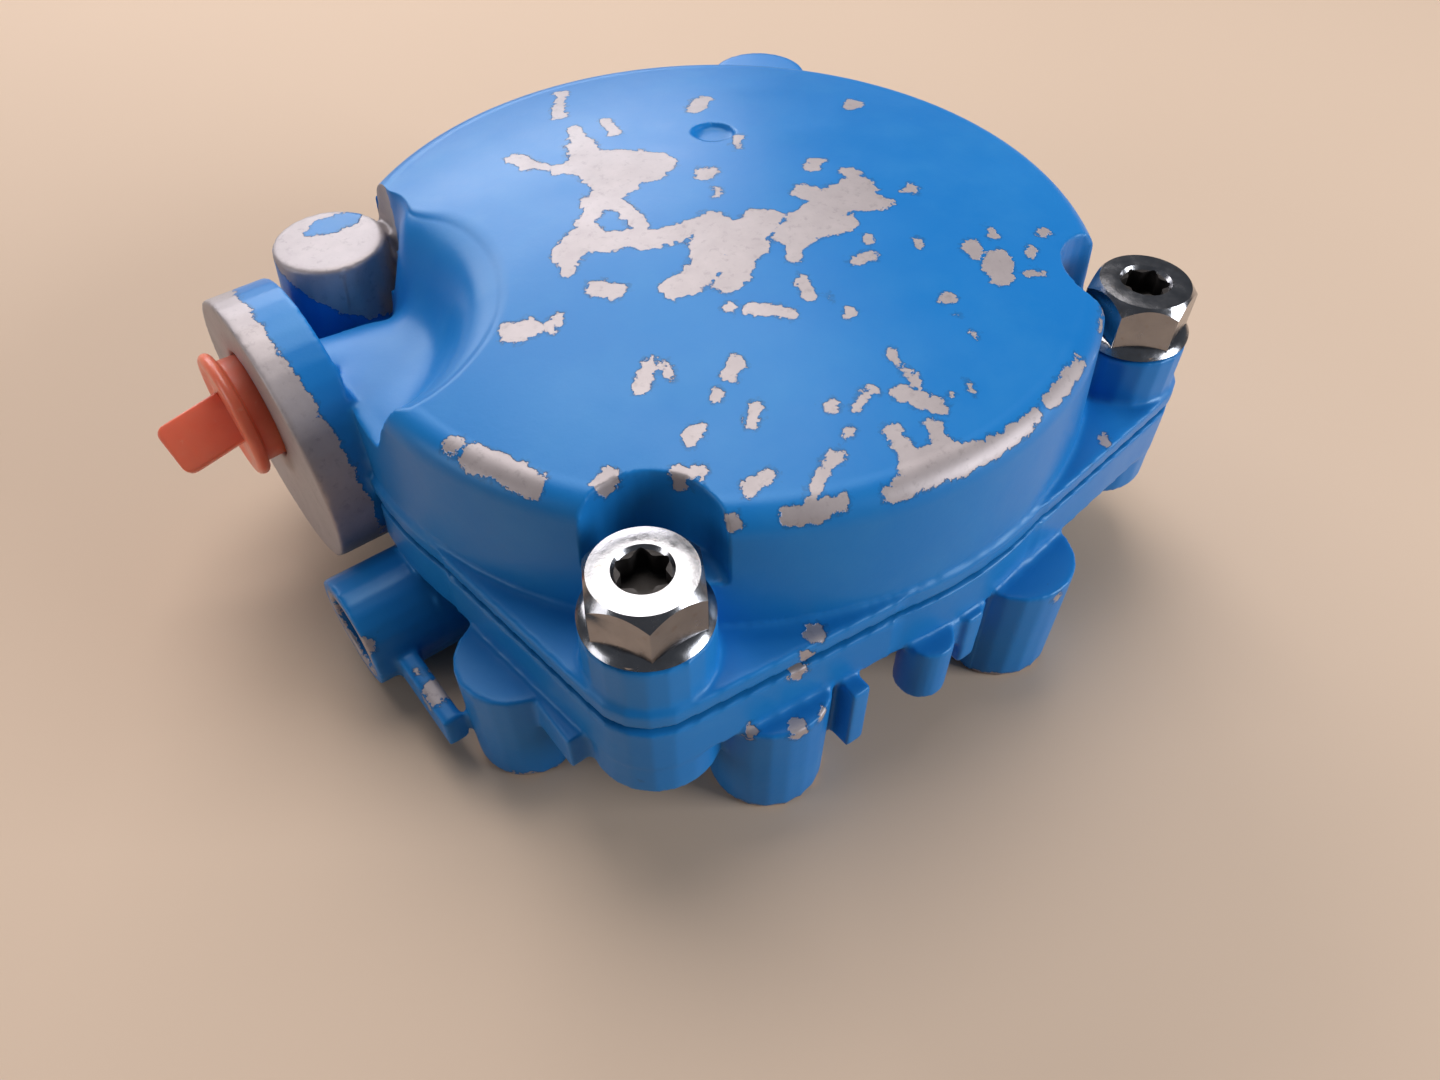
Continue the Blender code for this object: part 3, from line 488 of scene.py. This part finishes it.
def prism(name, outline, low, high):
    """An outline of (x, y) points, extruded between two heights."""
    work = bmesh.new()
    face = work.faces.new([work.verts.new((x, y, low)) for x, y in outline])
    top = bmesh.ops.extrude_face_region(work, geom=[face])
    up = [item for item in top["geom"] if isinstance(item, bmesh.types.BMVert)]
    bmesh.ops.translate(work, vec=(0, 0, high - low), verts=up)
    bmesh.ops.recalc_face_normals(work, faces=work.faces)
    return new_object(name, work)


def ring_points(radius, count):
    turns = [2 * pi * i / count for i in range(count)]
    return [(radius * cos(turn), radius * sin(turn)) for turn in turns]


def rounded_slab(length, width, corner):
    """The outline of a tab from x = -length to 0, its two outer corners rounded."""
    points = []
    for sign, start in ((-1, 90), (1, 180)):
        middle = (corner - length, -sign * (width / 2 - corner))
        for i in range(7):
            turn = radians(start + 15 * i)
            points.append((middle[0] + corner * cos(turn), middle[1] + corner * sin(turn)))
    return points + [(0.0, -width / 2), (0.0, width / 2)]


def bake_down(made):
    """Replaces an object's mesh with the result of its modifiers."""
    graph = bpy.context.evaluated_depsgraph_get()
    mesh = bpy.data.meshes.new_from_object(made.evaluated_get(graph))
    made.modifiers.clear()
    made.data = mesh


def combine(made, other, operation):
    """Applies an exact Boolean and removes the other object."""
    modifier = made.modifiers.new(operation, "BOOLEAN")
    modifier.operation = operation
    modifier.solver = "EXACT"
    modifier.object = other
    bake_down(made)
    bpy.data.objects.remove(other)


def soften(made, width, segments=2):
    """Rounds the sharp edges, and shades the rest smooth."""
    bevel = made.modifiers.new("edges", "BEVEL")
    bevel.width = width * MM
    bevel.segments = segments
    bevel.limit_method = "ANGLE"
    bevel.angle_limit = radians(BEVEL_ANGLE)
    bevel.miter_outer = "MITER_ARC"
    bake_down(made)
    made.data.shade_smooth()
    made.data.set_sharp_from_angle(angle=radians(SHARP_ANGLE))


def dress(made, surface, node, body):
    """Gives a piece its material and its body, and hides the CAD node that it stands for."""
    made.data.materials.clear()
    made.data.materials.append(surface)
    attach(made, body)
    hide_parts(node)


# ---- castings ------------------------------------------------------------------------------


def points_of(mesh):
    points = np.empty(len(mesh.vertices) * 3)
    mesh.vertices.foreach_get("co", points)
    return points.reshape(-1, 3) / MM


def store_points(mesh, points):
    mesh.vertices.foreach_set("co", (points * MM).ravel())
    mesh.update()


def pull(points, distance, direction, keep, reach=0.22):
    """Moves points that lie within reach of a true surface onto it, and fades out beyond."""
    share = np.clip((2 * reach - np.abs(distance)) / reach, 0.0, 1.0) * keep
    points -= direction * (distance * share)[:, None]


def outward(points):
    """The unit vectors away from the shaft's axis, and the distances from it."""
    flat = points[:, :2]
    radius = np.hypot(*flat.T)
    unit = np.zeros_like(points)
    unit[:, :2] = flat / np.maximum(radius, 1e-6)[:, None]
    return unit, radius


def true_dome(points):
    """Puts the crown, the shoulder and the wall back on their exact turned surfaces."""
    unit, radius = outward(points)
    height = points[:, 2]
    from_centre = points - np.array((0.0, 0.0, APEX_Z - CROWN_R))
    length = np.linalg.norm(from_centre, axis=1)
    crown = (radius < CROWN_EDGE_R) & (height > WALL_TOP_Z)
    pull(points, length - CROWN_R, from_centre / length[:, None], crown)
    across = np.stack([radius - CROWN_EDGE_R, height - WALL_TOP_Z], 1)
    length = np.maximum(np.linalg.norm(across, axis=1), 1e-6)
    normal = unit * (across[:, :1] / length[:, None])
    normal[:, 2] = across[:, 1] / length
    shoulder = (radius >= CROWN_EDGE_R) & (height >= WALL_TOP_Z)
    pull(points, length - SHOULDER_FILLET, normal, shoulder)
    slope = (DOME_FOOT_R - DOME_R) / (WALL_TOP_Z - FLANGE_TOP_Z)
    wall = (height < WALL_TOP_Z) & (height > FLANGE_TOP_Z + 0.8)
    pull(points, radius - DOME_R - slope * (WALL_TOP_Z - height), unit, wall)


def true_flange(points):
    """Puts the round flange's edge back on its exact turned surface."""
    unit, radius = outward(points)
    pull(points, radius - FLANGE_R, unit, points[:, 2] < FLANGE_TOP_Z - 0.3)


def relax(made, rounds, group=""):
    """Smooths a mesh, in all of it or by the weights of one vertex group."""
    smooth = made.modifiers.new("smooth", "SMOOTH")
    smooth.factor = 0.5
    smooth.iterations = rounds
    smooth.vertex_group = group
    bake_down(made)


def soften_valley(made):
    """Smooths the hollow at the port far more than the rest."""
    points = points_of(made.data)
    fill_well(points)
    store_points(made.data, points)
    share = valley_share(points)
    group = made.vertex_groups.new(name="valley")
    for index in np.flatnonzero(share > 0.01).tolist():
        group.add([index], float(share[index]), "REPLACE")
    relax(made, VALLEY_ROUNDS, "valley")
    made.vertex_groups.clear()


def casting(node, has_valley=False):
    """The CAD casting with its edges rounded over, as sand or die leaves them."""
    made = bpy.data.objects.new(node + "_cast", NODES[node].data.copy())
    bpy.context.scene.collection.objects.link(made)
    remesh = made.modifiers.new("remesh", "REMESH")
    remesh.mode = "VOXEL"
    remesh.voxel_size = VOXEL * MM
    bake_down(made)
    if has_valley:
        soften_valley(made)
    relax(made, EDGE_ROUNDS)
    made.data.shade_smooth()
    return made


def crown_height(radius):
    """The height of the crown and its rounded shoulder at a distance from the axis."""
    top = APEX_Z - CROWN_R + np.sqrt(CROWN_R**2 - np.minimum(radius, CROWN_EDGE_R) ** 2)
    past = np.clip(radius - CROWN_EDGE_R, 0.0, SHOULDER_FILLET)
    return top - SHOULDER_FILLET + np.sqrt(SHOULDER_FILLET**2 - past**2)


def fill_well(points):
    """Brings the crown close up to the blind boss, which stands in a well of the CAD cover."""
    x, y, z = points.T
    boss_x, boss_y, boss_r = BLIND_BOSS
    level = crown_height(np.hypot(x, y))
    for cone_x, cone_y, floor_r, floor_z, rise in (NOTCH, WELL):
        away = np.hypot(x - cone_x, y - cone_y)
        level = np.minimum(level, floor_z + (away - floor_r) * rise)
    near = (away < WELL_REACH) & (x > boss_x)
    off_boss = np.hypot(x - boss_x, y - boss_y) > boss_r + 0.2
    outside = (z > FLANGE_TOP_Z + 0.3) & (np.hypot(x, y) > CHAMBER_R + 1.0)
    above = z > CHAMBER_TOP_Z + 1.0
    points[:, 2] = np.where(near & off_boss & (outside | above) & (z < level), level, z)


def valley_share(points):
    """How much of the hollow by the port's neck and the blind boss each point is: 0 to 1."""
    x, y, z = points.T
    boss_x, boss_y, boss_r = BLIND_BOSS
    middle_x, middle_y, radius, fade = VALLEY
    near = np.clip((radius - np.hypot(x - middle_x, y - middle_y)) / fade, 0.0, 1.0)
    off_disc = np.clip((x + 51.6) / 1.5, 0.0, 1.0)
    off_boss = np.clip((np.hypot(x - boss_x, y - boss_y) - boss_r - 0.2) / 1.5, 0.0, 1.0)
    outside = (np.hypot(x, y) > CHAMBER_R + 1.5) | (z > CHAMBER_TOP_Z + 1.5)
    return near * off_disc * off_boss * outside * (z > FLANGE_TOP_Z + 1.0)


def stroke_distance(points, strokes):
    """How far each point is, seen from above, outside the nearest stroke."""
    nearest = np.full(len(points), NO_WEAR)
    for x1, y1, x2, y2, half in strokes:
        start, run = np.array((x1, y1)), np.array((x2 - x1, y2 - y1))
        away = points[:, :2] - start
        along = np.clip(away @ run / (run @ run), 0.0, 1.0)
        off = np.linalg.norm(away - along[:, None] * run, axis=1) - half
        nearest = np.minimum(nearest, off)
    return nearest


def spot_distance(points, spots):
    """How far each point is outside the nearest round spot."""
    nearest = np.full(len(points), NO_WEAR)
    for x, y, z, radius in spots:
        off = np.linalg.norm(points - np.array((x, y, z)), axis=1) - radius
        nearest = np.minimum(nearest, off)
    return nearest


def store_wear(mesh, wear):
    """Writes the wear for the paint's material to read."""
    attribute = mesh.attributes.new("wear", "FLOAT", "POINT")
    attribute.data.foreach_set("value", np.clip(wear, -NO_WEAR, NO_WEAR).astype(np.float32))


def upper_wear(points):
    """Millimetres to the cover's nearest bare spot: negative where the paint is gone."""
    x, y, z = points.T
    crown = stroke_distance(points, CROWN_WEAR) + 1.2 * np.maximum(0.0, 45.8 - z)
    boss_x, boss_y, boss_r = BLIND_BOSS
    on_boss = np.hypot(x - boss_x, y - boss_y) < boss_r + 0.4
    boss_line = 36.0 + 3.5 * (y - boss_y) / boss_r - 0.5 * (x - boss_x)
    boss = np.where(on_boss & (z > 31.0), boss_line - z, NO_WEAR)
    left_blue = 2.4 - np.hypot(0.55 * (x - boss_x - 2.6), y - boss_y - 3.4)
    boss = np.where(z > BLIND_BOSS_TOP_Z - 0.5, np.maximum(boss, left_blue), boss)
    port_y, port_z, port_r = PORT_DISC
    reach = np.hypot(y - port_y, z - port_z)
    bare_to = PORT_FACE_X + 5.4 - 1.8 * (z - port_z) / port_r
    on_rim = (reach > port_r - 2.6) & (x < PORT_FACE_X + PORT_DISC_T + 0.2)
    rim = np.where(on_rim, x - bare_to, NO_WEAR)
    face = np.where(x < PORT_FACE_X + 0.5, -2.0, NO_WEAR)
    bore_y, bore_z, bore_r = BORE
    bore = np.hypot(y - bore_y, z - bore_z) < bore_r + 0.4
    bore = np.where(bore & (x < PORT_FACE_X + PORT_DISC_T), -2.0, NO_WEAR)
    return np.minimum.reduce([crown, boss, rim, face, bore, spot_distance(points, COVER_WEAR)])


def lower_wear(points):
    """The same for the base."""
    x, y, z = points.T
    feet = z - 0.4
    port_y, port_z, port_r = LOW_PORT
    reach = np.hypot(y - port_y, z - port_z)
    port = np.where(reach < port_r - 1.2, x - LOW_PORT_FACE_X - 0.3, NO_WEAR)
    return np.minimum.reduce([feet, port, spot_distance(points, BASE_WEAR)])


def castings(paint):
    cover = casting("upper_housing", has_valley=True)
    points = points_of(cover.data)
    true_dome(points)
    true_flange(points)
    store_points(cover.data, points)
    store_wear(cover.data, upper_wear(points))
    dress(cover, paint, "upper_housing", "housing")
    base = casting("lower_housing")
    points = points_of(base.data)
    true_flange(points)
    store_points(base.data, points)
    store_wear(base.data, lower_wear(points))
    dress(base, paint, "lower_housing", "housing")


# ---- screws --------------------------------------------------------------------------------

HEX_FLATS = 13.0
SCREW_FLANGE_R = 7.9
HEAD_TOP = 8.0  # above the underside of the head
RECESS_R = (2.45, 3.3)  # between the lobes, at their tips
RECESS_DEPTH = 3.6
SHANK_R = 4.0
PLAIN_SHANK = 8.0
THREAD_PITCH = 1.25
SCREW_TURNS = (23, -11, 0, 17)  # degrees, in the order of the nodes' names


def lobed(root, tip, count=72):
    """The outline of a six-lobed recess."""
    points = []
    for i in range(count):
        turn = 2 * pi * i / count
        radius = (root + tip) / 2 + (tip - root) / 2 * cos(6 * turn)
        points.append((radius * cos(turn), radius * sin(turn)))
    return points


def flanged_screw(name, length):
    """An M8 flanged hexagon screw standing on z = 0, its shank running down."""
    flange_r = SCREW_FLANGE_R
    skirt = [(0, 0), (flange_r - 0.2, 0), (flange_r, 0.25), (flange_r, 0.75)]
    for i in range(1, 7):
        turn = radians(15 * i)
        skirt.append((flange_r - 0.5 + 0.5 * cos(turn) - 0.22 * i, 0.75 + 0.95 * sin(turn)))
    skirt += [(5.6, 2.1), (0, 2.1)]
    screw = turned(name, skirt)
    corner_r = HEX_FLATS / 2 / cos(pi / 6)
    head = prism(name + "_hex", ring_points(corner_r, 6), 0.8, HEAD_TOP)
    crown = [(0, -1), (corner_r + 1, -1), (corner_r + 1, HEAD_TOP - 3.1)]
    crown += [(6.55, HEAD_TOP - 0.62), (6.2, HEAD_TOP - 0.18), (5.6, HEAD_TOP), (0, HEAD_TOP)]
    combine(head, turned(name + "_crown", crown, 120), "INTERSECT")
    combine(screw, head, "UNION")
    recess = prism(name + "_recess", lobed(*RECESS_R), HEAD_TOP - RECESS_DEPTH, HEAD_TOP + 1)
    combine(screw, recess, "DIFFERENCE")
    lead = [(0, HEAD_TOP - 0.5), (3.15, HEAD_TOP - 0.5), (3.75, HEAD_TOP + 0.3)]
    lead.append((0, HEAD_TOP + 0.3))
    combine(screw, turned(name + "_lead", lead), "DIFFERENCE")
    shank = [(0, 1.0), (SHANK_R, 1.0), (SHANK_R, -PLAIN_SHANK)]
    turns = int((length - PLAIN_SHANK - 1.5) / THREAD_PITCH)
    for i in range(turns):
        top = -PLAIN_SHANK - 0.3 - i * THREAD_PITCH
        shank += [(SHANK_R, top), (SHANK_R - 0.65, top - THREAD_PITCH / 2)]
    shank += [(SHANK_R - 0.8, -length + 0.2), (SHANK_R - 1.2, -length), (0, -length)]
    combine(screw, turned(name + "_shank", shank, 48), "UNION")
    soften(screw, 0.14)
    return screw


def darken_recess(screw, recess_shade):
    """The six-lobed recess gets the near-black painted-shade material, which is the piece's
    second.
    """
    screw.data.materials.append(recess_shade)
    low, high = HEAD_TOP - RECESS_DEPTH - 0.2, HEAD_TOP - 0.35
    # Faces inside the recess get the near-black painted shade.
    for face in screw.data.polygons:
        middle = face.center / MM
        if middle.xy.length < RECESS_R[1] and low < middle.z < high:
            face.material_index = 1


def screws(surface, recess_shade):
    """The cover screws stand upright, and the corner screws come up from below."""
    names = sorted(name for name in NODES if name.startswith(("cover_screw", "corner_screw")))
    for node, degrees in zip(names, SCREW_TURNS):
        low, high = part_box(node)
        middle = (low + high) / 2
        length = (high.z - low.z) / MM - HEAD_TOP
        screw = flanged_screw(node + "_fine", length)
        turn = Matrix.Rotation(radians(degrees), 4, "Z")
        if node.startswith("corner"):
            flip = Matrix.Rotation(pi, 4, "X")
            place = Matrix.Translation((middle.x, middle.y, low.z + HEAD_TOP * MM)) @ flip
        else:
            place = Matrix.Translation((middle.x, middle.y, high.z - HEAD_TOP * MM))
        dress(screw, surface, node, "housing")
        darken_recess(screw, recess_shade)
        screw.data.transform(place @ turn)


# ---- transit plug --------------------------------------------------------------------------

PLUG_DISC_X = -66.1
PLUG_DISC_R = 9.1
PLUG_DISC_T = 1.8
STEM_BORE_R = 5.8
TAB_TWIST = 40.0  # degrees
TAB_DROOP = 12.0  # degrees


def transit_plug(surface):
    """A thin disc with a rounded rim on a hollow tapered stem, and a pull tab."""
    bore_y, bore_z, bore_r = BORE
    stem_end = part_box("port_plug")[1].x / MM - PLUG_DISC_X
    rim = PLUG_DISC_T / 2
    profile = [(0.0, 0.35), (6.6, 0.3), (7.4, 0.0)]
    for i in range(9):
        turn = radians(-90 + 22.5 * i)
        profile.append((PLUG_DISC_R - rim + rim * cos(turn), rim + rim * sin(turn)))
    profile += [(bore_r - 0.1, PLUG_DISC_T), (bore_r - 0.32, PLUG_DISC_T + 0.3)]
    profile += [(7.3, stem_end - 2.2), (6.9, stem_end)]
    profile += [(STEM_BORE_R, stem_end), (STEM_BORE_R, 3.0), (0.0, 3.0)]
    plug = turned("port_plug_fine", profile)
    turn = Matrix.Rotation(radians(90), 4, "Y")
    plug.data.transform(Matrix.Translation(Vector((PLUG_DISC_X, bore_y, bore_z)) * MM) @ turn)
    tab = prism("plug_tab", rounded_slab(9.9, 7.6, 1.4), -0.9, 0.9)
    soften(tab, 0.35, 3)
    twist = Matrix.Rotation(radians(TAB_TWIST), 4, "X")
    droop = Matrix.Rotation(radians(-TAB_DROOP), 4, "Y")
    root = Matrix.Translation(Vector((PLUG_DISC_X + 1.0, bore_y, bore_z)) * MM)
    tab.data.transform(root @ droop @ twist)
    combine(plug, tab, "UNION")
    soften(plug, 0.12)
    dress(plug, surface, "port_plug", "plug")


# ---- output shaft --------------------------------------------------------------------------


SHAFT_R = 8.0
FLAT_Y = 6.5
FLAT_TOP_Z = 7.4
KEYWAY = ((-2.3, 5.7), (2.3, 5.7), (2.3, 12), (-2.3, 12))
KEYWAY_Z = (22.7, 36.3)
SHAFT_TURN = 235  # degrees, at the rest stop


def output_shaft(surface):
    """The shaft with its flats, end chamfers, centre hole and keyway."""
    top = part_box("output_shaft")[1].z / MM
    r = SHAFT_R
    profile = [(0.0, 3.2), (1.2, 2.4), (1.2, 1.4), (2.3, 0.0), (r - 0.8, 0.0), (r, 0.8)]
    profile += [(r, top - 0.8), (r - 0.8, top), (0.0, top)]
    shaft = turned("output_shaft_fine", profile)
    for side in (1, -1):
        near, far = sorted((side * FLAT_Y, side * 12.0))
        outline = [(-12, near), (12, near), (12, far), (-12, far)]
        flat = prism("flat", outline, -2.0, FLAT_TOP_Z)
        combine(shaft, flat, "DIFFERENCE")
    combine(shaft, prism("keyway", KEYWAY, *KEYWAY_Z), "DIFFERENCE")
    shaft.data.transform(Matrix.Rotation(radians(SHAFT_TURN), 4, "Z"))
    soften(shaft, 0.15)
    dress(shaft, surface, "output_shaft", "rotor")


# ---- studio --------------------------------------------------------------------------------


FLOOR_HALF = 2500
FLOOR_GAP = 0.1
LENS = 27.12
SENSOR = 36.0
CAMERA_PLACE = (-0.0801, -0.1050, 0.1341)
CAMERA_FORWARD = (0.39984, 0.52021, -0.75466)
CAMERA_UP = (0.4603, 0.5980, 0.6561)


def floor():
    """A wide flat sheet just under the feet."""
    work = bmesh.new()
    bmesh.ops.create_grid(work, x_segments=40, y_segments=40, size=FLOOR_HALF)
    made = new_object("floor", work)
    made.data.materials.append(floor_surface())
    made.location.z = min(0.0, CAD_BOX[0][2]) - FLOOR_GAP * MM
    made.data.shade_smooth()


def softbox(name, place, target, size, power, tint):
    """A rectangular light of size metres, turned to the target."""
    light = bpy.data.lights.new(name, "AREA")
    light.shape = "RECTANGLE"
    light.size, light.size_y = size
    light.energy = power
    light.color = tint
    lamp = bpy.data.objects.new(name, light)
    bpy.context.scene.collection.objects.link(lamp)
    lamp.location = place
    lamp.rotation_euler = (Vector(target) - Vector(place)).to_track_quat("-Z", "Y").to_euler()


def studio():
    """The floor, a dim bluish sky, two large lights behind and two fills in front."""
    floor()
    world = bpy.data.worlds.new("studio")
    bpy.context.scene.world = world
    world.use_nodes = True
    sky = world.node_tree.nodes["Background"]
    sky.inputs["Color"].default_value = color(0.78, 0.87, 1.0)
    sky.inputs["Strength"].default_value = 0.12
    middle = (0.0, 0.0, 0.03)
    softbox("overhead", (0.16, 0.30, 0.78), middle, (0.5, 0.5), 4.2, (1.0, 0.985, 0.97))
    softbox("back_window", (0.14, 0.80, 0.46), middle, (0.9, 0.40), 5.6, (0.96, 0.96, 1.0))
    softbox("front_fill", (0.46, -0.62, 0.30), middle, (0.36, 0.36), 5.2, (0.88, 0.94, 1.0))
    softbox("left_fill", (-0.72, 0.16, 0.26), middle, (0.3, 0.3), 1.0, (0.95, 0.97, 1.0))


def camera():
    """A close view from above the front corner."""
    lens = bpy.data.cameras.new("camera")
    lens.lens = LENS
    lens.sensor_width = SENSOR
    lens.clip_start = 0.005
    made = bpy.data.objects.new("camera", lens)
    bpy.context.scene.collection.objects.link(made)
    bpy.context.scene.camera = made
    forward = Vector(CAMERA_FORWARD)
    upward = Vector(CAMERA_UP)
    right = forward.cross(upward)
    turn = Matrix((right, upward, -forward)).transposed().to_4x4()
    made.matrix_world = Matrix.Translation(CAMERA_PLACE) @ turn


def node_materials(surfaces):
    """Gives each CAD node that stays in view the material of its slot in the record."""
    for subpart in frame["record"]["subparts"]:
        node = NODES[subpart["node"]]
        node.data.materials.clear()
        node.data.materials.append(surfaces[subpart["material_slot"]])


surfaces = {
    "blue_casting": painted_casting(),
    "gasket_fibre": gasket_fibre(),
    "plated_steel": plated_steel(),
    "ground_steel": ground_steel(),
    "bare_aluminium": bare_aluminium(),
    "bronze": bronze(),
    "black_rubber": black_rubber(),
    "orange_plastic": orange_plastic(),
}
node_materials(surfaces)
castings(surfaces["blue_casting"])
# The screws' recesses are coloured near-black as painted shade.
screws(surfaces["plated_steel"], painted_recess_shade())
transit_plug(surfaces["orange_plastic"])
output_shaft(surfaces["ground_steel"])
studio()
camera()
bpy.context.scene.view_settings.view_transform = "Standard"
